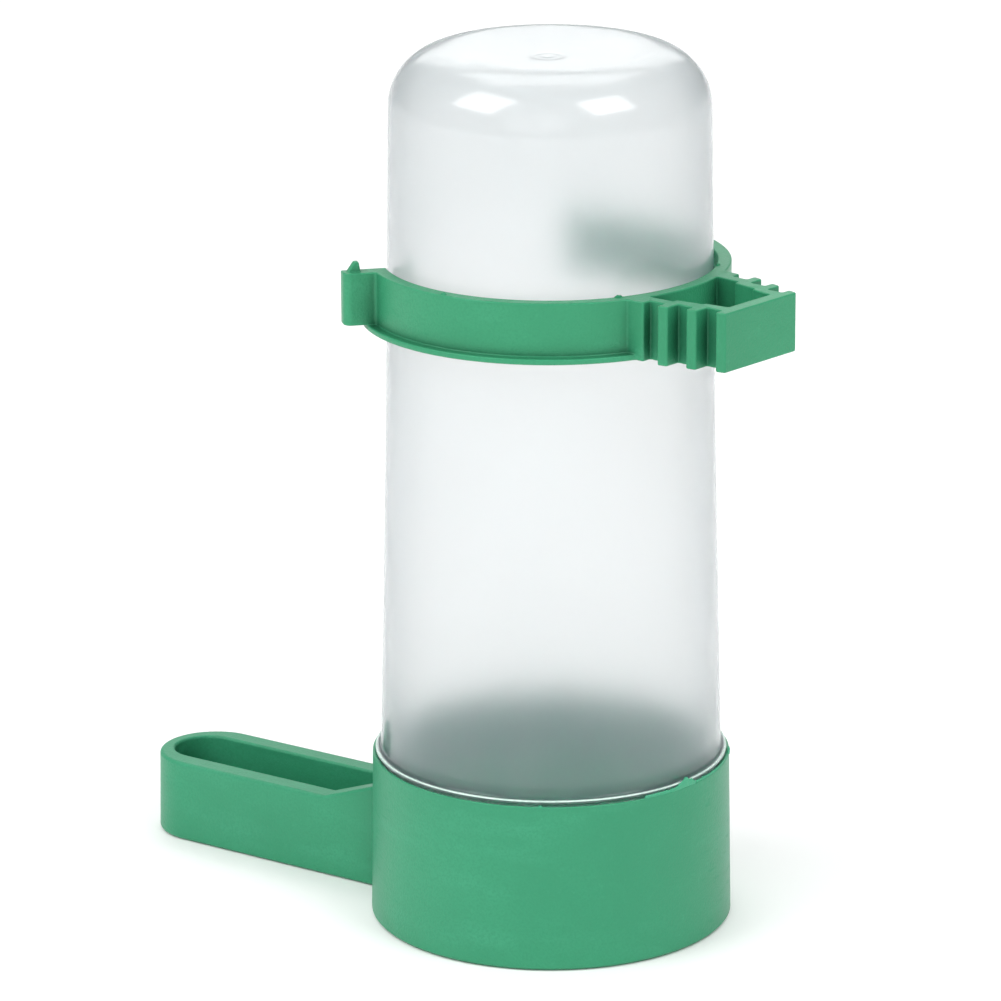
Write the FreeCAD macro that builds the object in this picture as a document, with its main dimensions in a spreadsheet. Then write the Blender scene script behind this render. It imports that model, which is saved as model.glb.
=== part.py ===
"""A clip-on drinker for a small bird cage, in millimetres.

An upside-down bottle stands in a round cup, and a long trough runs out of the cup for the bird to drink
from. A snap ring round the bottle carries a ribbed block that wedges between two wires of the cage.

The frame: +Z up, the origin at the middle of the cup's foot, +X along the trough.
"""
import FreeCAD, Part
import Sketcher
import math
import os

# Driving dimensions. Radii and heights are from the bottle's axis and the foot's plane.
SIZES = {
    # the cup that the bottle stands in
    "cup_foot_radius": 28.65,
    "cup_rim_radius": 28.25,
    "cup_rim_height": 26.75,
    "cup_bore_radius": 27.25,
    "cup_lead_in": 0.55,
    "cup_ledge_height": 17.0,
    "cup_well_radius": 25.7,
    "floor_thickness": 2.0,
    "cup_foot_chamfer": 0.45,
    # the drinking trough
    "trough_end_centre": 67.5,
    "trough_half_width": 9.1,
    "trough_draft_degrees": 1.1,
    "trough_rim_height": 13.4,
    "trough_start": 15.0,
    "well_half_width": 5.2,
    "well_end_centre": 69.0,
    "trough_foot_round": 0.6,
    "rim_outer_round": 0.6,
    "rim_inner_round": 0.5,
    "wall_rise_start": 38.5,
    "wall_rise_slope": 0.36,
    "wall_rise_end": 24.0,
    # the port through the cup's wall, under the trough's rim so that it sets the water level
    "port_half_width": 4.9,
    "port_top": 10.0,
    "port_inner_end": 22.0,
    "port_length": 9.0,
    # the bottle, mouth down
    "bottle_top": 140.0,
    "bottle_wall": 1.0,
    "mouth_height": 17.3,
    "skirt_radius": 26.95,
    "collar_radius": 27.8,
    "collar_height": 26.95,
    "collar_thickness": 0.65,
    "collar_flare": 1.2,
    "waist_height": 82.0,
    "waist_radius": 25.66,
    "crown_radius": 24.75,
    "shoulder_round": 9.25,
    # the snap ring
    "ring_bottom": 97.6,
    "ring_height": 9.2,
    "ring_outer_radius": 28.05,
    "ring_inner_radius": 25.9,
    "ring_turn_degrees": 172.7,
    "ring_half_span_degrees": 125.5,
    "ring_cut_reach": 60.0,
    "foot_flange_radius": 29.5,
    "foot_flange_thickness": 0.9,
    "tab_root_radius": 26.8,
    "tab_tip_radius": 33.0,
    "tab_thickness": 2.7,
    "tab_edge_round": 1.3,
    "tab_crease_round": 0.6,
    "gate_stub_inner_radius": 30.2,
    "gate_stub_outer_radius": 32.3,
    "gate_stub_peak_radius": 30.5,
    "gate_stub_peak_length": 0.7,
    "gate_stub_height": 1.6,
    "gate_stub_root": 0.4,
    "gate_stub_thickness": 1.3,
    # the ribbed block on the ring, measured along its own axis from the bottle's axis
    "block_start": 15.0,
    "block_end": 42.1,
    "rib_pitch": 4.5,
    "rib_width": 1.75,
    "rib_taper": 0.4,
    "root_half_width": 11.8,
    "rib_one_half_width": 11.4,
    "rib_two_half_width": 11.2,
    "rib_three_half_width": 9.9,
    "end_half_width": 8.4,
    "groove_one_half_width": 9.7,
    "groove_two_half_width": 8.5,
    "groove_three_half_width": 7.1,
    "rib_round": 0.4,
    "hollow_one_half_width": 8.3,
    "hollow_two_half_width": 6.7,
    "hollow_three_half_width": 5.5,
    "hollow_taper": 0.6,
    "end_plate_thickness": 2.3,
}

NODES = ("trough_base", "reservoir_bottle", "cage_clip")

# Two lengths closer than this are the same, and a cut takes away at least this volume.
SAME_LENGTH = 0.01
LEAST_CUT = 1.0

doc = FreeCAD.newDocument("clip_on_cage_drinker")


def make_sheet():
    """The spreadsheet that every sketch and feature reads."""
    sheet = doc.addObject("Spreadsheet::Sheet", "sizes")
    for row, (name, size) in enumerate(SIZES.items(), start=1):
        sheet.set(f"A{row}", str(size))
        sheet.setAlias(f"A{row}", name)
    doc.recompute()
    return sheet


sizes = make_sheet()


def number(expression):
    """What an expression over the sheet comes to."""
    return float(sizes.evalExpression(str(expression)))


def add_body(label):
    body = doc.addObject("PartDesign::Body", label)
    body.Label = label
    return body


def add_sketch(body, name, role, lift=None):
    """An empty sketch on one of the body's own planes, or raised from it by an expression."""
    plane = next(item for item in body.Origin.OriginFeatures if item.Role == role)
    sketch = body.newObject("Sketcher::SketchObject", name)
    sketch.AttachmentSupport = [(plane, "")]
    sketch.MapMode = "FlatFace"
    if lift is not None:
        sketch.setExpression("AttachmentOffset.Base.z", lift)
    return sketch


def bind(sketch, kind, expression, *places):
    """A dimension of the sketch that follows the sheet."""
    index = sketch.addConstraint(Sketcher.Constraint(kind, *places, number(expression)))
    sketch.setExpression(f"Constraints[{index}]", str(expression))


def draw_polygon(sketch, corners):
    """A closed outline of straight lines. Each corner is a pair of expressions."""
    points = [FreeCAD.Vector(number(across), number(up), 0) for across, up in corners]
    count = len(points)
    for index in range(count):
        sketch.addGeometry(Part.LineSegment(points[index], points[(index + 1) % count]), False)
    for index in range(count):
        sketch.addConstraint(Sketcher.Constraint("Coincident", index, 2, (index + 1) % count, 1))
    for index, (across, up) in enumerate(corners):
        bind(sketch, "DistanceX", across, index, 1)
        bind(sketch, "DistanceY", up, index, 1)


def draw_circle(sketch, radius):
    """A circle about the sketch's origin."""
    middle = FreeCAD.Vector(0, 0, 0)
    circle = sketch.addGeometry(Part.Circle(middle, FreeCAD.Vector(0, 0, 1), number(radius)), False)
    sketch.addConstraint(Sketcher.Constraint("Coincident", circle, 3, -1, 1))
    bind(sketch, "Radius", radius, circle)


def draw_round_ended_slot(sketch, start, end_centre, half_width):
    """A slot along X: square at its start, a half circle at its far end."""
    first = number(start)
    last = number(end_centre)
    half = number(half_width)
    corners = [(last, half), (first, half), (first, -half), (last, -half)]
    points = [FreeCAD.Vector(along, across, 0) for along, across in corners]
    for index in range(3):
        sketch.addGeometry(Part.LineSegment(points[index], points[index + 1]), False)
    circle = Part.Circle(FreeCAD.Vector(last, 0, 0), FreeCAD.Vector(0, 0, 1), half)
    arc = sketch.addGeometry(Part.ArcOfCircle(circle, -math.pi / 2, math.pi / 2), False)
    sketch.addConstraint(Sketcher.Constraint("Coincident", 0, 2, 1, 1))
    sketch.addConstraint(Sketcher.Constraint("Coincident", 1, 2, 2, 1))
    sketch.addConstraint(Sketcher.Constraint("Tangent", 2, 2, arc, 1))
    sketch.addConstraint(Sketcher.Constraint("Tangent", 0, 1, arc, 2))
    sketch.addConstraint(Sketcher.Constraint("Horizontal", 0))
    sketch.addConstraint(Sketcher.Constraint("Vertical", 1))
    sketch.addConstraint(Sketcher.Constraint("PointOnObject", arc, 3, -1))
    bind(sketch, "DistanceX", end_centre, arc, 3)
    bind(sketch, "Radius", half_width, arc)
    bind(sketch, "DistanceX", start, 1, 1)


def add_feature(body, kind, name, sketch, **settings):
    """A PartDesign feature on a sketch. Text settings are expressions over the sheet."""
    feature = body.newObject(f"PartDesign::{kind}", name)
    feature.Profile = sketch
    for key, setting in settings.items():
        if key in ("Length", "TaperAngle"):
            feature.setExpression(key, setting)
        else:
            setattr(feature, key, setting)
    doc.recompute()
    return feature


def cut(body, name, sketch, **settings):
    """A pocket, which has to take something away."""
    before = body.Shape.Volume
    pocket = add_feature(body, "Pocket", name, sketch, **settings)
    if pocket.Shape.Volume > before - LEAST_CUT:
        raise RuntimeError(f"{name} cuts nothing")
    return pocket


def cut_through(body, name, sketch):
    """A pocket right through the body, both ways from its sketch."""
    return cut(body, name, sketch, Type="ThroughAll", SideType="Symmetric")


def round_edges(body, name, base, radius, chosen):
    """A fillet on those edges of a feature that the test chooses."""
    found = [f"Edge{place}" for place, edge in enumerate(base.Shape.Edges, start=1) if chosen(edge)]
    if not found:
        raise RuntimeError(f"{name} finds no edge")
    fillet = body.newObject("PartDesign::Fillet", name)
    fillet.Base = (base, found)
    fillet.setExpression("Radius", radius)
    doc.recompute()
    return fillet


def edge_middle(edge):
    return edge.valueAt((edge.FirstParameter + edge.LastParameter) / 2)


def is_level(edge, height):
    box = edge.BoundBox
    return abs(box.ZMin - height) < SAME_LENGTH and abs(box.ZMax - height) < SAME_LENGTH


def is_upright(edge):
    box = edge.BoundBox
    return box.ZLength > SAME_LENGTH and box.XLength < SAME_LENGTH and box.YLength < SAME_LENGTH


def revolve(body, kind, name, corners):
    """A revolved solid or groove from an outline of (radius, height) corners."""
    sketch = add_sketch(body, f"{name}_outline", "XZ_Plane")
    draw_polygon(sketch, corners)
    before = body.Shape.Volume if body.Tip else 0
    feature = add_feature(body, kind, name, sketch, ReferenceAxis=(sketch, ["V_Axis"]), Angle=360)
    grew = feature.Shape.Volume > before
    if grew != (kind == "Revolution"):
        raise RuntimeError(f"{name} goes the wrong way")
    return feature


def make_trough(body):
    """The trough, with walls that rise towards the cup and a well that is open on top."""
    block_outline = add_sketch(body, "trough_outline", "XY_Plane")
    draw_round_ended_slot(
        block_outline, "sizes.trough_start", "sizes.trough_end_centre", "sizes.trough_half_width"
    )
    rise = "(sizes.wall_rise_start - sizes.wall_rise_end) * sizes.wall_rise_slope"
    block = add_feature(
        body, "Pad", "trough_block", block_outline,
        Length=f"sizes.trough_rim_height + {rise}",
        TaperAngle="-sizes.trough_draft_degrees",
    )
    round_edges(
        body, "trough_foot_round", block, "sizes.trough_foot_round", lambda edge: is_level(edge, 0)
    )

    far = "sizes.trough_end_centre + 2 * sizes.trough_half_width"
    top = "2 * sizes.trough_rim_height"
    rim_profile = add_sketch(body, "trough_rim_profile", "XZ_Plane")
    draw_polygon(rim_profile, [
        (far, "sizes.trough_rim_height"),
        ("sizes.wall_rise_start", "sizes.trough_rim_height"),
        ("sizes.wall_rise_end", f"sizes.trough_rim_height + {rise}"),
        ("sizes.wall_rise_end", top),
        (far, top),
    ])
    cut_through(body, "trough_rim_cut", rim_profile)

    well_outline = add_sketch(body, "trough_well_outline", "XY_Plane", "sizes.floor_thickness")
    draw_round_ended_slot(
        well_outline, "sizes.trough_start", "sizes.well_end_centre", "sizes.well_half_width"
    )
    well = cut(body, "trough_well", well_outline, Type="ThroughAll", Reversed=True)

    rim_height = number("sizes.trough_rim_height")
    rise_end = number("sizes.wall_rise_end")
    well_end = number("sizes.well_end_centre")
    mid_rim = number("(sizes.well_half_width + sizes.trough_half_width) / 2")

    def on_top(edge):
        middle = edge_middle(edge)
        return middle.z > rim_height - SAME_LENGTH and middle.x > rise_end + SAME_LENGTH

    def is_across(edge):
        return edge.BoundBox.XLength < SAME_LENGTH

    def outside(edge):
        middle = edge_middle(edge)
        return math.hypot(max(middle.x - well_end, 0), middle.y) > mid_rim

    outer = round_edges(
        body, "trough_rim_outer_round", well, "sizes.rim_outer_round",
        lambda edge: on_top(edge) and outside(edge) and not is_across(edge),
    )
    round_edges(
        body, "trough_rim_inner_round", outer, "sizes.rim_inner_round",
        lambda edge: on_top(edge) and not outside(edge) and not is_across(edge),
    )


def make_base():
    """The cup and the trough, one moulding."""
    body = add_body("trough_base")
    make_trough(body)

    revolve(body, "Revolution", "cup_block", [
        ("0", "0"),
        ("sizes.cup_foot_radius - sizes.cup_foot_chamfer", "0"),
        ("sizes.cup_foot_radius", "sizes.cup_foot_chamfer"),
        ("sizes.cup_rim_radius", "sizes.cup_rim_height"),
        ("0", "sizes.cup_rim_height"),
    ])
    over_rim = "sizes.cup_rim_height + 1"
    mouth_radius = "sizes.cup_bore_radius + sizes.cup_lead_in"
    revolve(body, "Groove", "cup_bore", [
        ("0", "sizes.floor_thickness"),
        ("sizes.cup_well_radius", "sizes.floor_thickness"),
        ("sizes.cup_well_radius", "sizes.cup_ledge_height"),
        ("sizes.cup_bore_radius", "sizes.cup_ledge_height"),
        ("sizes.cup_bore_radius", "sizes.cup_rim_height - sizes.cup_lead_in"),
        (mouth_radius, "sizes.cup_rim_height"),
        (mouth_radius, over_rim),
        ("0", over_rim),
    ])

    port_outline = add_sketch(body, "port_outline", "YZ_Plane", "sizes.port_inner_end")
    draw_polygon(port_outline, [
        ("-sizes.port_half_width", "sizes.floor_thickness"),
        ("sizes.port_half_width", "sizes.floor_thickness"),
        ("sizes.port_half_width", "sizes.port_top"),
        ("-sizes.port_half_width", "sizes.port_top"),
    ])
    cut(body, "port", port_outline, Length="sizes.port_length", Reversed=True)


def make_bottle():
    """The bottle: a thin round shell, closed and domed at the top, with a collar over the cup's rim."""
    body = add_body("reservoir_bottle")
    collar_top = "sizes.collar_height + sizes.collar_thickness"
    inside = "- sizes.bottle_wall"
    shell = revolve(body, "Revolution", "bottle_shell", [
        (f"sizes.skirt_radius {inside}", "sizes.mouth_height"),
        ("sizes.skirt_radius", "sizes.mouth_height"),
        ("sizes.skirt_radius", "sizes.collar_height"),
        ("sizes.collar_radius", "sizes.collar_height"),
        ("sizes.collar_radius", collar_top),
        ("sizes.skirt_radius", f"{collar_top} + sizes.collar_flare"),
        ("sizes.waist_radius", "sizes.waist_height"),
        ("sizes.crown_radius", "sizes.bottle_top"),
        ("0", "sizes.bottle_top"),
        ("0", f"sizes.bottle_top {inside}"),
        (f"sizes.crown_radius {inside}", f"sizes.bottle_top {inside}"),
        (f"sizes.waist_radius {inside}", "sizes.waist_height"),
        (f"sizes.skirt_radius {inside}", f"{collar_top} + sizes.collar_flare"),
    ])
    top = number("sizes.bottle_top")
    outer = round_edges(
        body, "shoulder_round_outside", shell, "sizes.shoulder_round", lambda edge: is_level(edge, top)
    )
    ceiling = number(f"sizes.bottle_top {inside}")
    round_edges(
        body, "shoulder_round_inside", outer, f"sizes.shoulder_round {inside}",
        lambda edge: is_level(edge, ceiling) and edge.BoundBox.XLength > number("sizes.crown_radius"),
    )


def mirrored_outline(half):
    """Both sides of an outline that is the same above and below the block's axis."""
    return half + [(along, f"-({across})") for along, across in reversed(half)]


def make_block(body):
    """The ribbed block, still solid: four ribs a side, with grooves between them for the cage's wires."""
    half_widths = ["sizes.rib_one_half_width", "sizes.rib_two_half_width", "sizes.rib_three_half_width",
                   "sizes.end_half_width"]
    groove_widths = ["sizes.groove_one_half_width", "sizes.groove_two_half_width",
                     "sizes.groove_three_half_width"]
    last_rib = len(half_widths) - 1
    half = [("sizes.block_start", "sizes.root_half_width")]
    for rib, half_width in enumerate(half_widths):
        rib_end = f"sizes.block_end - {last_rib - rib} * sizes.rib_pitch"
        if rib > 0:
            half.append((f"{rib_end} - sizes.rib_width", groove_widths[rib - 1]))
            half.append((f"{rib_end} - sizes.rib_width", f"{half_width} + sizes.rib_taper"))
        half.append((rib_end, half_width))
        if rib < last_rib:
            half.append((rib_end, groove_widths[rib]))
    outline = add_sketch(body, "block_outline", "XY_Plane")
    draw_polygon(outline, mirrored_outline(half))
    block = add_feature(body, "Pad", "block", outline, Length="sizes.ring_height")

    tapers = ("0", "sizes.rib_taper")
    rib_reaches = [number(f"{half_width} + {taper}") for half_width in half_widths for taper in tapers]
    root = number("sizes.block_start")

    def is_rib_corner(edge):
        middle = edge_middle(edge)
        on_rib = any(abs(abs(middle.y) - reach) < SAME_LENGTH for reach in rib_reaches)
        return is_upright(edge) and on_rib and middle.x > root + SAME_LENGTH

    round_edges(body, "rib_rounds", block, "sizes.rib_round", is_rib_corner)


def hollow_block(body):
    """The hollow inside the block, open above and below, which lets its sides give between the wires."""
    steps = ["sizes.hollow_one_half_width", "sizes.hollow_two_half_width", "sizes.hollow_three_half_width"]
    last_step = len(steps) - 1
    half = [("sizes.block_start", steps[0])]
    for step, half_width in enumerate(steps):
        rib_face = f"sizes.block_end - sizes.rib_width - {last_step - step} * sizes.rib_pitch"
        if step > 0:
            half.append((f"{rib_face} - sizes.rib_pitch", half_width))
        section_end = rib_face if step < last_step else "sizes.block_end - sizes.end_plate_thickness"
        half.append((section_end, f"{half_width} - sizes.hollow_taper"))
    outline = add_sketch(body, "hollow_outline", "XY_Plane")
    draw_polygon(outline, mirrored_outline(half))
    cut_through(body, "block_hollow", outline)


def make_ring(body):
    """The snap ring: a wall with a thin flange round its foot, cut away on the side of the trough."""
    flange_outline = add_sketch(body, "flange_outline", "XY_Plane")
    draw_circle(flange_outline, "sizes.foot_flange_radius")
    add_feature(body, "Pad", "foot_flange", flange_outline, Length="sizes.foot_flange_thickness")
    hollow_block(body)

    wall_outline = add_sketch(body, "ring_outline", "XY_Plane")
    draw_circle(wall_outline, "sizes.ring_outer_radius")
    add_feature(body, "Pad", "ring_wall", wall_outline, Length="sizes.ring_height")
    bore_outline = add_sketch(body, "bore_outline", "XY_Plane")
    draw_circle(bore_outline, "sizes.ring_inner_radius")
    cut_through(body, "ring_bore", bore_outline)

    reach = "sizes.ring_cut_reach"
    lip = [(f"{reach} * cos(sizes.ring_half_span_degrees)", f"{reach} * sin(sizes.ring_half_span_degrees)"),
           (f"-{reach}", f"{reach} * sin(sizes.ring_half_span_degrees)")]
    opening_outline = add_sketch(body, "opening_outline", "XY_Plane")
    draw_polygon(opening_outline, [("0", "0")] + mirrored_outline(lip))
    cut_through(body, "ring_opening", opening_outline)


def polar(radius, inward, side):
    """A point at a radius on the ring's end plane, or set back from that plane along the ring."""
    span = "sizes.ring_half_span_degrees"
    return (f"({radius}) * cos({span}) + ({inward}) * sin({span})",
            f"{side} * (({radius}) * sin({span}) - ({inward}) * cos({span}))")


def make_tab(body, name, side):
    """A finger tab that turns outward from one end of the ring, on top of the flange."""
    outline = add_sketch(body, f"{name}_outline", "XY_Plane", "sizes.foot_flange_thickness")
    draw_polygon(outline, [
        polar("sizes.tab_root_radius", "0", side),
        polar("sizes.tab_tip_radius", "0", side),
        polar("sizes.tab_tip_radius", "sizes.tab_thickness", side),
        polar("sizes.tab_root_radius", "sizes.tab_thickness", side),
    ])
    tab = add_feature(
        body, "Pad", name, outline, Length="sizes.ring_height - sizes.foot_flange_thickness"
    )
    corner_across, corner_up = polar("sizes.tab_tip_radius", "sizes.tab_thickness", side)
    corner = (number(corner_across), number(corner_up))
    crease_radius = "sqrt(sizes.ring_outer_radius ^ 2 - sizes.tab_thickness ^ 2)"
    crease_across, crease_up = polar(crease_radius, "sizes.tab_thickness", side)
    crease = (number(crease_across), number(crease_up))

    def is_upright_at(edge, place):
        middle = edge_middle(edge)
        return is_upright(edge) and math.hypot(middle.x - place[0], middle.y - place[1]) < SAME_LENGTH

    rounded = round_edges(
        body, f"{name}_round", tab, "sizes.tab_edge_round", lambda edge: is_upright_at(edge, corner)
    )
    round_edges(
        body, f"{name}_crease", rounded, "sizes.tab_crease_round",
        lambda edge: is_upright_at(edge, crease),
    )


def make_gate_stub(body):
    """What is left of the moulding gate: a small leaning fin on top of one tab."""
    outline = add_sketch(body, "gate_stub_outline", "XZ_Plane")
    turn = FreeCAD.Rotation(FreeCAD.Vector(0, 1, 0), -number("sizes.ring_half_span_degrees"))
    setback = FreeCAD.Vector(0, 0, -number("sizes.tab_thickness / 2"))
    outline.AttachmentOffset = FreeCAD.Placement(turn.multVec(setback), turn)
    foot = "sizes.ring_height - sizes.gate_stub_root"
    peak = "sizes.ring_height + sizes.gate_stub_height"
    draw_polygon(outline, [
        ("sizes.gate_stub_inner_radius", foot),
        ("sizes.gate_stub_outer_radius", foot),
        ("sizes.gate_stub_outer_radius", "sizes.ring_height"),
        ("sizes.gate_stub_peak_radius + sizes.gate_stub_peak_length", peak),
        ("sizes.gate_stub_peak_radius", peak),
        ("sizes.gate_stub_inner_radius", "sizes.ring_height"),
    ])
    add_feature(
        body, "Pad", "gate_stub", outline, Length="sizes.gate_stub_thickness", SideType="Symmetric"
    )


def make_clip():
    """The snap ring, its tabs and its ribbed block, one moulding. Its own +X runs along the block."""
    body = add_body("cage_clip")
    make_block(body)
    make_ring(body)
    for name, side in (("left_tab", -1), ("right_tab", 1)):
        make_tab(body, name, side)
    make_gate_stub(body)
    body.setExpression("Placement.Base.z", "sizes.ring_bottom")
    body.setExpression("Placement.Rotation.Angle", "sizes.ring_turn_degrees")


def write_parts():
    """Check every object of the document, then write each sub-part to its own file."""
    doc.recompute()
    for item in doc.Objects:
        if "Invalid" in item.State or "Error" in item.State:
            raise RuntimeError(f"{item.Name} did not compute: {item.State}")
    os.makedirs("parts", exist_ok=True)
    for label in NODES:
        shape = doc.getObjectsByLabel(label)[0].Shape
        if shape.isNull() or not shape.isValid():
            raise RuntimeError(f"{label} has no valid shape")
        shape.exportStep(f"parts/{label}.step")
        box = shape.BoundBox
        print(f"{label}: {len(shape.Solids)} solid, {shape.Volume / 1000:.2f} cm3, "
              f"x {box.XMin:.2f} {box.XMax:.2f}, y {box.YMin:.2f} {box.YMax:.2f}, "
              f"z {box.ZMin:.2f} {box.ZMax:.2f}")


make_base()
make_bottle()
make_clip()
write_parts()
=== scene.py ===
"""The looks of a clip-on drinker for a small bird cage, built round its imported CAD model.

Metres, in the CAD frame: +Z up, the origin at the middle of the cup's foot, +X along the trough.
The green cup and clip are moulded PP, and the bottle is thin milky plastic.
"""
import math

import bmesh
import bpy
import numpy as np
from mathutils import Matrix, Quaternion, Vector, noise


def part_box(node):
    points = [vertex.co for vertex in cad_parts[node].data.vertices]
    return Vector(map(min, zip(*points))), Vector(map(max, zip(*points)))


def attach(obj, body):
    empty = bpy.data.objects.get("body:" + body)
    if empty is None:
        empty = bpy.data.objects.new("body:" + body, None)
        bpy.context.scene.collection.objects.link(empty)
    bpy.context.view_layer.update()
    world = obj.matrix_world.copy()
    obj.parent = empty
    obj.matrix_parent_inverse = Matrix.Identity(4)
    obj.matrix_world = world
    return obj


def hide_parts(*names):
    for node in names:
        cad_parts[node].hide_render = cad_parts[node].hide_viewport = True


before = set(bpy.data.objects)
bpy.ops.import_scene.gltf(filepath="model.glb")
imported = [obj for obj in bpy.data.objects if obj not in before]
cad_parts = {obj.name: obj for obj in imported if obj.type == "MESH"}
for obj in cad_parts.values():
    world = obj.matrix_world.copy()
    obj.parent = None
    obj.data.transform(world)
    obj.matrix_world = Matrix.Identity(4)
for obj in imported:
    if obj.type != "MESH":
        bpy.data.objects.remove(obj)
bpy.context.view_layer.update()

MM = 0.001

# The camera, from the point it looks at.
LOOK_AT = Vector((6.443, 4.445, 67.609)) * MM
VIEW_AZIMUTH = 124.6
VIEW_ELEVATION = 16.82
VIEW_DISTANCE = 879.994 * MM
VIEW_ROLL = -0.249
SENSOR = 36.0
LENS = 202.22
LIGHT_TARGET = Vector((0, 0, 100)) * MM

# The bottle's outline, in millimetres. Its ends and its widest radius are the CAD node's own.
bottle_low, bottle_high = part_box("reservoir_bottle")
MOUTH_HEIGHT = bottle_low[2] / MM
BOTTLE_TOP = bottle_high[2] / MM
COLLAR_RADIUS = bottle_high[0] / MM
BOTTLE_WALL = 1.0
LIP_ROUND = 0.3
SKIRT_RADIUS = 26.95
COLLAR_BOTTOM = 26.95
COLLAR_TOP = 27.6
COLLAR_CREASE = 0.35
COLLAR_BEAD = 0.28
FLARE_ROUND = 0.55
WAIST_HEIGHT = 82.0
WAIST_RADIUS = 25.66
CROWN_RADIUS = 24.75
SHOULDER_ROUND = 9.25

# Worked out from the outline: where the skirt ends, the wall starts and the shoulder turns.
SKIRT_TOP = COLLAR_BOTTOM - COLLAR_CREASE
WALL_START = (SKIRT_RADIUS - 0.02, COLLAR_TOP + 1.2)
SHOULDER_START = BOTTLE_TOP - SHOULDER_ROUND
UPPER_LEAN = (CROWN_RADIUS - WAIST_RADIUS) / (BOTTLE_TOP - WAIST_HEIGHT)
SHOULDER_RADIUS = WAIST_RADIUS + UPPER_LEAN * (SHOULDER_START - WAIST_HEIGHT)
CROWN_FLAT = SHOULDER_RADIUS - SHOULDER_ROUND

# The part of the collar's edge that gathers light, in millimetres.
LIT_RADIUS = 27.42
LIT_HEIGHTS = (27.42, 27.65)

# The gate mark on the crown: a dimple with a fine ring round it, in millimetres.
GATE_ANGLE = 121.7
GATE_RADIUS = 6.65
DIMPLE_DEPTH = 0.16
DIMPLE_REACH = 0.9
RING_DEPTH = 0.05
RING_REACH = 2.2
RING_WIDTH = 0.5

# The waves in the blown wall, in millimetres. They fade in over the collar.
WAVE_START = COLLAR_TOP + 3
WAVE_FADE = 12.0
SLOW_WAVE = 0.075
FINE_WAVE = 0.03
WAVE_SEED = 7

# How finely the bottle is turned, and what counts as nothing in its outline, in millimetres.
BOTTLE_TURNS = 240
NEARLY = 0.01

# The mouldings' edges and the places that carry flaws, in millimetres.
CUP_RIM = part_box("trough_base")[1][2] / MM
RIM_ROUND = 0.16
RIM_EDGES_ABOVE = 26.0
RIM_EDGES_BEYOND = 27.0
RING_ROUND = 0.24
RING_TOP = 106.8
FLASH_SUNK = 0.25


def direction(azimuth, elevation):
    """The unit vector towards an azimuth and an elevation, in degrees."""
    turn = math.radians(azimuth)
    rise = math.radians(elevation)
    return Vector((math.cos(turn) * math.cos(rise), math.sin(turn) * math.cos(rise), math.sin(rise)))


def around(degrees, radius, height):
    """A point at an angle round the bottle's axis, from millimetres."""
    turn = math.radians(degrees)
    return Vector((radius * math.cos(turn), radius * math.sin(turn), height)) * MM


# ---------------------------------------------------------------- camera, lights and floor

def make_camera():
    data = bpy.data.cameras.new("camera")
    data.sensor_width = SENSOR
    data.lens = LENS
    data.clip_start = 0.05
    data.clip_end = 20.0
    camera = bpy.data.objects.new("camera", data)
    bpy.context.scene.collection.objects.link(camera)
    out = direction(VIEW_AZIMUTH, VIEW_ELEVATION)
    camera.location = LOOK_AT + out * VIEW_DISTANCE
    camera.rotation_mode = "QUATERNION"
    level = (-out).to_track_quat("-Z", "Y")
    camera.rotation_quaternion = level @ Quaternion((0, 0, 1), math.radians(VIEW_ROLL))
    bpy.context.scene.camera = camera


def make_light(name, azimuth, elevation, distance, size, watts, mirrored=True):
    """A softbox that faces the bottle, in metres.

    Its azimuth is from the camera's own. One that isn't mirrored doesn't show in the gloss.
    """
    data = bpy.data.lights.new(name, "AREA")
    data.shape = "RECTANGLE"
    data.size, data.size_y = size
    data.energy = watts
    light = bpy.data.objects.new(name, data)
    bpy.context.scene.collection.objects.link(light)
    out = direction(VIEW_AZIMUTH + azimuth, elevation)
    light.location = LIGHT_TARGET + out * distance
    light.rotation_mode = "QUATERNION"
    light.rotation_quaternion = (-out).to_track_quat("-Z", "Y")
    light.visible_glossy = mirrored


def make_world(strength):
    world = bpy.data.worlds.new("studio")
    world.use_nodes = True
    background = world.node_tree.nodes["Background"]
    background.inputs["Color"].default_value = (1.0, 1.0, 1.0, 1.0)
    background.inputs["Strength"].default_value = strength
    bpy.context.scene.world = world


def make_floor(material):
    """A large pale sheet, just under the cup's foot so that the two faces don't meet."""
    half = 4.0
    mesh = bpy.data.meshes.new("floor")
    corners = [(-half, -half, 0), (half, -half, 0), (half, half, 0), (-half, half, 0)]
    mesh.from_pydata(corners, [], [(0, 1, 2, 3)])
    mesh.materials.append(material)
    floor = bpy.data.objects.new("floor", mesh)
    floor.location.z = -0.1 * MM
    bpy.context.scene.collection.objects.link(floor)


# ---------------------------------------------------------------- materials

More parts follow.
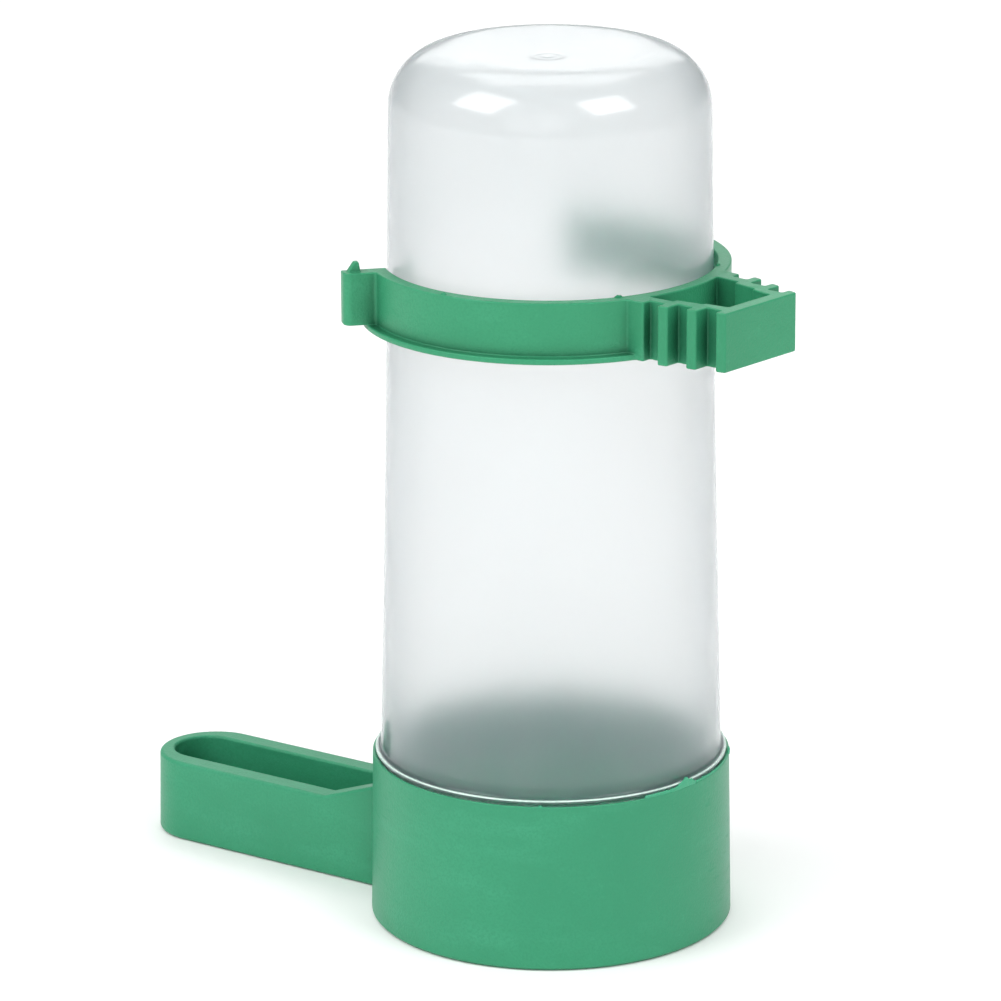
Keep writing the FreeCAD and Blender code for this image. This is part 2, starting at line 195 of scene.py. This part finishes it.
class Nodes:
    """A short way to write a material's nodes."""

    def __init__(self, name):
        self.material = bpy.data.materials.new(name)
        self.material.use_nodes = True
        self.tree = self.material.node_tree
        self.tree.nodes.clear()
        self.output = self.tree.nodes.new("ShaderNodeOutputMaterial")
        self.place = self.add("ShaderNodeTexCoord").outputs["Object"]

    def add(self, kind, **settings):
        node = self.tree.nodes.new(kind)
        for key, setting in settings.items():
            setattr(node, key, setting)
        return node

    def put(self, socket, setting):
        """Links a socket to another, or sets its value."""
        if isinstance(setting, bpy.types.NodeSocket):
            self.tree.links.new(setting, socket)
        else:
            socket.default_value = setting

    def fill(self, node, **inputs):
        """Sets or links the node's inputs by name, with _ for a space."""
        for key, setting in inputs.items():
            self.put(node.inputs[key.replace("_", " ")], setting)

    def surfaced(self, shader):
        """The material, with the shader as its surface."""
        self.put(self.output.inputs["Surface"], shader.outputs[0])
        return self.material

    def stretch(self, scale):
        """The object's coordinates, scaled differently each way."""
        mapping = self.add("ShaderNodeMapping")
        self.fill(mapping, Vector=self.place, Scale=scale)
        return mapping.outputs["Vector"]

    def noise(self, scale, detail=2.0, roughness=0.5, vector=None):
        texture = self.add("ShaderNodeTexNoise")
        self.fill(texture, Vector=vector or self.place, Scale=scale, Detail=detail, Roughness=roughness)
        return texture.outputs["Fac"]

    def streaks(self, scale, detail, roughness=0.5):
        """Noise drawn out along an axis: one scale each for X, Y and Z."""
        return self.noise(1.0, detail, roughness, self.stretch(scale))

    def span(self, value, low, high, start=0.0, end=1.0):
        """Maps a value between two limits onto another pair."""
        node = self.add("ShaderNodeMapRange")
        self.fill(node, Value=value, From_Min=low, From_Max=high, To_Min=start, To_Max=end)
        return node.outputs["Result"]

    def blend(self, amount, first, second):
        """A mix of two colours."""
        node = self.add("ShaderNodeMix", data_type="RGBA")
        self.put(node.inputs[0], amount)
        for socket, colour in ((node.inputs[6], first), (node.inputs[7], second)):
            self.put(socket, colour if isinstance(colour, bpy.types.NodeSocket) else (*colour, 1.0))
        return node.outputs[2]

    def total(self, first, second):
        """The sum of two values."""
        node = self.add("ShaderNodeMath", operation="ADD")
        self.put(node.inputs[0], first)
        self.put(node.inputs[1], second)
        return node.outputs[0]

    def bump(self, height, distance, strength=1.0, normal=None):
        node = self.add("ShaderNodeBump")
        self.fill(node, Height=height, Distance=distance, Strength=strength)
        if normal is not None:
            self.put(node.inputs["Normal"], normal)
        return node.outputs["Normal"]


def green_plastic(name, base, shade, light, painted_crease_shade):
    """Moulded polypropylene: an even green with soft flow clouds, a fine skin and a waxy gloss, and painted
    shade in its creases and recesses.
    """
    n = Nodes(name)
    clouds = n.noise(45.0, detail=3.0)
    flow = n.streaks((60.0, 60.0, 220.0), detail=2.0)
    grain = n.noise(2600.0, detail=2.0, roughness=0.6)
    specks = n.noise(900.0, detail=1.0)
    colour = n.blend(n.span(clouds, 0.32, 0.68), shade, base)
    colour = n.blend(n.span(flow, 0.55, 0.8, 0.0, 0.5), colour, light)
    colour = n.blend(n.span(specks, 0.66, 0.76, 0.0, 0.22), colour, light)
    colour = n.blend(n.span(grain, 0.34, 0.58, 0.75, 0.0), colour, shade)
    # Painted shade: ambient occlusion darkens the colour towards the darkest green in creases and recesses,
    # where shade falls.
    crease_occlusion = n.add("ShaderNodeAmbientOcclusion", samples=8, only_local=True)
    n.fill(crease_occlusion, Distance=6.5 * MM)
    colour = n.blend(n.span(crease_occlusion.outputs["AO"], 0.22, 0.92, 0.95, 0.0), colour, painted_crease_shade)
    scuffs = n.streaks((300.0, 300.0, 1400.0), detail=3.0)
    rough = n.total(n.span(clouds, 0.3, 0.7, 0.34, 0.42), n.span(scuffs, 0.6, 0.75, 0.0, 0.12))
    skin = n.bump(grain, 0.10 * MM, 0.7)
    waves = n.bump(n.noise(110.0, detail=1.5), 0.4 * MM, 0.12, skin)
    shader = n.add("ShaderNodeBsdfPrincipled")
    n.fill(
        shader, Base_Color=colour, Roughness=rough, Normal=waves, IOR=1.49, Specular_IOR_Level=0.30,
        Subsurface_Weight=0.12, Subsurface_Radius=(0.4, 1.0, 0.7), Subsurface_Scale=1.2 * MM,
    )
    return n.surfaced(shader)


def milky_plastic(name):
    """Thin clear plastic with a slight milky haze, drawn out in faint upright wisps."""
    n = Nodes(name)
    wisps = n.streaks((170.0, 170.0, 24.0), detail=4.0, roughness=0.6)
    clouds = n.noise(38.0, detail=3.0)
    specks = n.noise(1500.0, detail=1.0)
    ripple = n.bump(n.streaks((95.0, 95.0, 30.0), detail=2.0), 0.6 * MM, 0.10)
    ripple = n.bump(n.noise(700.0, detail=2.0), 0.04 * MM, 0.10, ripple)
    clear = n.total(n.span(wisps, 0.3, 0.7, 0.985, 0.962), n.span(clouds, 0.3, 0.7, 0.0, -0.012))
    clear = n.total(clear, n.span(specks, 0.70, 0.78, 0.0, -0.08))
    shader = n.add("ShaderNodeBsdfPrincipled")
    n.fill(
        shader, Base_Color=(0.925, 0.915, 0.910, 1.0), Roughness=n.span(clouds, 0.3, 0.7, 0.45, 0.51),
        Transmission_Weight=clear, Normal=ripple, IOR=1.16,
        Coat_Weight=0.8, Coat_Roughness=0.06, Coat_IOR=1.5,
    )
    bloom = n.add("ShaderNodeBsdfDiffuse")
    n.fill(bloom, Color=(0.42, 0.78, 0.90, 1.0), Normal=ripple)
    surface = n.add("ShaderNodeMixShader")
    n.put(surface.inputs[0], 0.045)
    n.put(surface.inputs[1], shader.outputs[0])
    n.put(surface.inputs[2], bloom.outputs[0])
    return n.surfaced(surface)


def lit_edge_plastic(name):
    """The bottle's plastic seen end on, at the collar's edge, where it gathers light and looks white."""
    n = Nodes(name)
    nicks = n.noise(1200.0, detail=2.0)
    colour = n.blend(n.span(nicks, 0.35, 0.65), (0.50, 0.68, 0.61), (0.66, 0.80, 0.74))
    shader = n.add("ShaderNodeBsdfPrincipled")
    n.fill(shader, Base_Color=colour, Roughness=0.22, Normal=n.bump(nicks, 0.03 * MM, 0.3))
    return n.surfaced(shader)


def floor_paint():
    n = Nodes("floor_paint")
    shader = n.add("ShaderNodeBsdfPrincipled")
    n.fill(shader, Base_Color=(0.96, 0.96, 0.96, 1.0), Roughness=0.9, Specular_IOR_Level=0.0)
    return n.surfaced(shader)


# ---------------------------------------------------------------- mesh helpers

def add_piece(mesh, material, body):
    """An object of the mesh, under the mesh's name, that moves with a body."""
    mesh.materials.clear()
    mesh.materials.append(material)
    mesh.polygons.foreach_set("use_smooth", [True] * len(mesh.polygons))
    piece = bpy.data.objects.new(mesh.name, mesh)
    bpy.context.scene.collection.objects.link(piece)
    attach(piece, body)
    return piece


def even_normals(piece):
    """Lets the large flat faces set the shading at their edges."""
    weighted = piece.modifiers.new("even_normals", "WEIGHTED_NORMAL")
    weighted.keep_sharp = True
    weighted.weight = 80


def mesh_from(name, shape):
    """A new mesh of the edited shape, which is then let go."""
    mesh = bpy.data.meshes.new(name)
    shape.to_mesh(mesh)
    shape.free()
    return mesh


def turn_outwards(shape):
    """Turns every face of a closed shape outwards, from where its points are now."""
    shape.normal_update()
    bmesh.ops.recalc_face_normals(shape, faces=shape.faces)


def solid_from(name, points, faces):
    """A closed mesh of the points and faces."""
    shape = bmesh.new()
    verts = [shape.verts.new(point) for point in points]
    for face in faces:
        shape.faces.new([verts[place] for place in face])
    turn_outwards(shape)
    return mesh_from(name, shape)


def bridge(first, second):
    """The faces between two rings of points. A ring of one point is a tip."""
    faces = []
    turns = max(len(first), len(second))
    for step in range(turns):
        follow = (step + 1) % turns
        if len(first) == 1:
            faces.append((first[0], second[follow], second[step]))
        elif len(second) == 1:
            faces.append((first[step], first[follow], second[0]))
        else:
            faces.append((first[step], first[follow], second[follow], second[step]))
    return faces


def soften(name, node, bevel, chosen):
    """A copy of a CAD node's mesh with its flat faces joined and its chosen sharp edges rounded."""
    flat = math.radians(0.4)
    bevelled = math.radians(28)
    creased = math.radians(42)
    shape = bmesh.new()
    shape.from_mesh(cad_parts[node].data)
    bmesh.ops.remove_doubles(shape, verts=shape.verts, dist=0.002 * MM)
    bmesh.ops.dissolve_limit(
        shape, angle_limit=flat, verts=shape.verts, edges=shape.edges, use_dissolve_boundaries=False,
    )
    sharp = [
        edge for edge in shape.edges
        if len(edge.link_faces) == 2 and edge.calc_face_angle(0.0) > bevelled and chosen(edge)
    ]
    bmesh.ops.bevel(
        shape, geom=sharp, offset=bevel * MM, offset_type="OFFSET", segments=3, profile=0.5,
        affect="EDGES", clamp_overlap=False, miter_outer="ARC",
    )
    bmesh.ops.triangulate(shape, faces=[face for face in shape.faces if len(face.verts) > 4])
    for edge in shape.edges:
        edge.smooth = len(edge.link_faces) != 2 or edge.calc_face_angle(0.0) < creased
    return mesh_from(name, shape)


def lathe(name, outline, turns, shift):
    """A closed thin shell turned from an outline of (radius, height) points, its ends on the axis.

    shift says how far a point is moved outwards and upwards, in millimetres like the outline.
    """
    points = []
    rings = []
    for radius, height in outline:
        start = len(points)
        if radius < NEARLY:
            points.append((0.0, 0.0, height * MM))
        else:
            for step in range(turns):
                angle = 2 * math.pi * step / turns
                side = Vector((math.cos(angle), math.sin(angle), 0))
                wider, higher = shift(side * radius + Vector((0, 0, height)))
                points.append((side * (radius + wider) + Vector((0, 0, height + higher))) * MM)
        rings.append(range(start, len(points)))
    faces = []
    for first, second in zip(rings, rings[1:]):
        faces += bridge(first, second)
    return solid_from(name, points, faces)


def arc_points(centre, radius, start, end, count):
    """Points of an arc in the outline's plane, angles in degrees from outwards."""
    turns = [math.radians(start + (end - start) * step / count) for step in range(count + 1)]
    return [(centre[0] + radius * math.cos(t), centre[1] + radius * math.sin(t)) for t in turns]


def line_points(first, last, count):
    """Evenly spaced points of a line in the outline's plane."""
    return [
        (first[0] + (last[0] - first[0]) * step / count, first[1] + (last[1] - first[1]) * step / count)
        for step in range(count + 1)
    ]


# ---------------------------------------------------------------- the bottle

def outer_outline():
    """The outside from the lip up to the axis: skirt, collar, flare, wall, shoulder and flat crown."""
    outer = line_points((SKIRT_RADIUS, MOUTH_HEIGHT + LIP_ROUND), (SKIRT_RADIUS, SKIRT_TOP), 10)
    outer += arc_points((SKIRT_RADIUS + COLLAR_CREASE, SKIRT_TOP), COLLAR_CREASE, 180, 90, 4)
    outer += arc_points((COLLAR_RADIUS - COLLAR_BEAD, COLLAR_BOTTOM + COLLAR_BEAD), COLLAR_BEAD, -90, 0, 4)
    outer += arc_points((COLLAR_RADIUS - COLLAR_BEAD, COLLAR_TOP - COLLAR_BEAD), COLLAR_BEAD, 0, 90, 4)
    outer += arc_points((WALL_START[0] + FLARE_ROUND, COLLAR_TOP + FLARE_ROUND), FLARE_ROUND, 270, 185, 5)
    outer += line_points(WALL_START, (WAIST_RADIUS, WAIST_HEIGHT), 46)[1:]
    outer += line_points((WAIST_RADIUS, WAIST_HEIGHT), (SHOULDER_RADIUS, SHOULDER_START), 40)[1:]
    outer += arc_points((CROWN_FLAT, SHOULDER_START), SHOULDER_ROUND, 0, 90, 26)[1:]
    outer += line_points((CROWN_FLAT, BOTTLE_TOP), (0.0, BOTTLE_TOP), 44)[1:]
    return outer


def inner_outline(outer):
    """The inside over the lip, up to the axis: the outside moved in by the wall's thickness.

    The collar is solid, so the inside runs straight past it.
    """
    shrink = (SHOULDER_ROUND - BOTTLE_WALL) / SHOULDER_ROUND
    inner = []
    for radius, height in outer:
        if height < SKIRT_TOP + NEARLY:
            inner.append((SKIRT_RADIUS - BOTTLE_WALL, height))
        elif WALL_START[1] <= height < SHOULDER_START:
            inner.append((radius - BOTTLE_WALL, height))
        elif height >= SHOULDER_START:
            past_flat = max(radius - CROWN_FLAT, 0.0)
            rise = height - SHOULDER_START
            inner.append((min(radius, CROWN_FLAT) + past_flat * shrink, SHOULDER_START + rise * shrink))
    return inner


def bottle_outline():
    """The whole section: down the inside from the axis, round the lip, and up the outside.

    Where the skirt meets the lip and the collar a point is given twice. The rings there coincide, which
    creases the shading along those edges.
    """
    outer = outer_outline()
    lip_height = MOUTH_HEIGHT + LIP_ROUND
    lip = arc_points((SKIRT_RADIUS - BOTTLE_WALL + LIP_ROUND, lip_height), LIP_ROUND, 180, 270, 4)
    lip += arc_points((SKIRT_RADIUS - LIP_ROUND, lip_height), LIP_ROUND, 270, 360, 4)
    return inner_outline(outer)[::-1] + lip + outer


def bottle_shift(place):
    """How far a point of the bottle is moved outwards and upwards, in millimetres."""
    if place.z < WAVE_START:
        return 0.0, 0.0
    if place.z > BOTTLE_TOP - NEARLY:
        reach = (place - around(GATE_ANGLE, GATE_RADIUS, BOTTLE_TOP) / MM).length
        dimple = DIMPLE_DEPTH * math.exp(-((reach / DIMPLE_REACH) ** 2))
        ring = RING_DEPTH * math.exp(-(((reach - RING_REACH) / RING_WIDTH) ** 2))
        return 0.0, -dimple - ring
    slow = noise.noise(Vector((place.x * 0.035, place.y * 0.035, place.z * 0.020 + WAVE_SEED)))
    fine = noise.noise(Vector((place.x * 0.11, place.y * 0.11, place.z * 0.045 - WAVE_SEED)))
    fade = min((place.z - WAVE_START) / WAVE_FADE, 1.0)
    return fade * (SLOW_WAVE * slow + FINE_WAVE * fine), 0.0


def make_bottle(material, edge_material):
    """The bottle, turned from its outline, with the slight waves that thin blown plastic has."""
    mesh = lathe("bottle_shell", bottle_outline(), BOTTLE_TURNS, bottle_shift)
    bottle = add_piece(mesh, material, "bottle")
    mesh.materials.append(edge_material)
    for face in mesh.polygons:
        wide = math.hypot(face.center.x, face.center.y)
        if wide > LIT_RADIUS * MM and LIT_HEIGHTS[0] * MM < face.center.z < LIT_HEIGHTS[1] * MM:
            face.material_index = 1
    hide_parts("reservoir_bottle")


# ---------------------------------------------------------------- the two mouldings

def make_base(material):
    """The cup and trough, with only the edges of the cup's rim rounded."""
    def on_cup_rim(edge):
        middle = (edge.verts[0].co + edge.verts[1].co) / 2
        return middle.z > RIM_EDGES_ABOVE * MM and math.hypot(middle.x, middle.y) > RIM_EDGES_BEYOND * MM

    mesh = soften("cup_and_trough", "trough_base", RIM_ROUND, on_cup_rim)
    piece = add_piece(mesh, material, "base")
    even_normals(piece)
    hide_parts("trough_base")


def make_clip(material):
    """The snap ring with its tabs and block, every sharp edge rounded."""
    mesh = soften("snap_ring", "cage_clip", RING_ROUND, lambda edge: True)
    piece = add_piece(mesh, material, "clip")
    even_normals(piece)
    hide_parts("cage_clip")


# ---------------------------------------------------------------- moulding flaws

def flash(name, profile, radius, width, seed, material):
    """A ragged fin that stands on the cup's rim, in millimetres.

    The profile is its (angle, height over the rim) points. Its ends are thin, and its top leans a little.
    """
    steps = 90
    sides = 10
    top_taper = 0.45
    angles = [angle for angle, rise in profile]
    rises = [rise for angle, rise in profile]
    points = []
    for step in range(steps + 1):
        part = step / steps
        angle = angles[0] + (angles[-1] - angles[0]) * part
        ragged = 1 + 0.30 * noise.noise(Vector((angle * 1.1, seed, 0.0)))
        ragged += 0.16 * noise.noise(Vector((angle * 3.7, 0.0, seed)))
        half = (float(np.interp(angle, angles, rises)) * ragged + FLASH_SUNK) / 2
        thinned = min(0.25 + 14 * min(part, 1 - part), 1.0)
        thick = width * thinned * (1 + 0.25 * noise.noise(Vector((angle * 1.7, seed, 4.0))))
        lean = 0.10 * noise.noise(Vector((angle * 0.8, 2.0, seed)))
        for side in range(sides):
            turn = 2 * math.pi * side / sides
            up = math.sin(turn)
            above = max(up, 0.0)
            across = thick / 2 * (1 - top_taper * above) * math.cos(turn) + lean * above
            points.append(around(angle, radius + across, CUP_RIM - FLASH_SUNK + half + half * up))
    rings = [range(step * sides, (step + 1) * sides) for step in range(steps + 1)]
    faces = []
    for first, second in zip(rings, rings[1:]):
        faces += bridge(first, second)
    faces += [tuple(rings[0]), tuple(reversed(rings[-1]))]
    add_piece(solid_from(name, points, faces), material, "base")


def crumb(name, angle, radius, seed, material):
    """A small torn lump of plastic on the ring's top: an uneven blob, in millimetres."""
    half_length, half_width, half_height = 0.62, 0.36, 0.30
    centre = around(angle, radius, RING_TOP)
    out = around(angle, 1, 0)
    up = Vector((0, 0, MM))
    along = up.cross(out).normalized() * MM
    shape = bmesh.new()
    bmesh.ops.create_icosphere(shape, subdivisions=3, radius=1.0)
    for vert in shape.verts:
        push = 1 + 0.38 * noise.noise(vert.co * 1.9 + Vector((seed, 0, 0)))
        push += 0.14 * noise.noise(vert.co * 5.1 + Vector((0, seed, 0)))
        local = vert.co * push
        level = along * half_length * local.x + out * half_width * local.y
        vert.co = centre + level + up * half_height * local.z
    turn_outwards(shape)
    add_piece(mesh_from(name, shape), material, "clip")


def make_flaws(painted_lit_green, clip_green):
    """The flash, torn flap and burrs that the mouldings carry.

    Each fin has its radius, width and seed, then (angle, height over the rim) along it.
    """
    fins = (
        ("rim_flash", 28.02, 0.34, 1.3,
         ((155.2, 0.35), (156.5, 0.50), (161.0, 0.46), (165.5, 0.42), (167.0, 0.55))),
        ("rim_torn_flap", 28.06, 0.40, 5.7,
         ((166.0, 0.30), (168.5, 0.75), (172.3, 1.50), (174.0, 1.25), (177.5, 0.30))),
        ("rim_flash_tail", 28.02, 0.30, 9.4,
         ((176.5, 0.32), (184.0, 0.26), (192.0, 0.20), (200.0, 0.22), (207.0, 0.10))),
        ("rim_burr", 28.18, 0.46, 8.2,
         ((207.8, 0.10), (209.6, 0.85), (210.6, 0.70), (212.2, 0.08))),
        ("rim_pip", 27.98, 0.30, 2.6,
         ((119.8, 0.03), (120.6, 0.24), (121.5, 0.03))),
    )
    # The fins take the lighter green, a painted highlight for the light their thin edges catch.
    for name, radius, width, seed, profile in fins:
        flash(name, profile, radius, width, seed, painted_lit_green)
    marks = ((88.3, 27.6), (147.2, 26.2), (203.3, 26.25))
    for number, (angle, radius) in enumerate(marks, start=1):
        crumb(f"ring_mark_{number}", angle, radius, 10.0 + number, clip_green)


# ---------------------------------------------------------------- the scene

bpy.context.scene.view_settings.view_transform = "Standard"
make_camera()
make_world(0.42)
make_light("softbox_left", azimuth=-66.0, elevation=49.0, distance=1.3, size=(0.72, 0.72), watts=8.4)
make_light("softbox_right", azimuth=53.0, elevation=48.0, distance=1.3, size=(0.66, 0.66), watts=7.4)
make_light(
    "front_fill", azimuth=-12.0, elevation=25.0, distance=1.8, size=(1.60, 1.20), watts=10.0, mirrored=False,
)
make_light("top_fill", azimuth=180.0, elevation=62.0, distance=2.2, size=(1.60, 1.20), watts=13.0)
make_light("back_panel", azimuth=180.0, elevation=24.0, distance=2.2, size=(1.50, 0.90), watts=5.4)
make_floor(floor_paint())

# The last colour of each green is painted shade, laid into its creases and recesses.
base_green = green_plastic(
    "green_moulded", base=(0.040, 0.302, 0.158), shade=(0.033, 0.266, 0.136),
    light=(0.056, 0.348, 0.196), painted_crease_shade=(0.004, 0.060, 0.028),
)
clip_green = green_plastic(
    "green_moulded_clip", base=(0.040, 0.300, 0.150), shade=(0.032, 0.262, 0.128),
    light=(0.057, 0.350, 0.190), painted_crease_shade=(0.003, 0.050, 0.022),
)
make_base(base_green)
make_clip(clip_green)
make_bottle(milky_plastic("milky_clear"), lit_edge_plastic("collar_edge"))
# Painted highlight: a lighter copy of the green for the flash fins, in place of the light their thin edges
# catch.
painted_lit_green = green_plastic(
    "green_painted_lit", base=(0.070, 0.400, 0.225), shade=(0.050, 0.340, 0.185),
    light=(0.11, 0.48, 0.29), painted_crease_shade=(0.010, 0.12, 0.06),
)
make_flaws(painted_lit_green, clip_green)
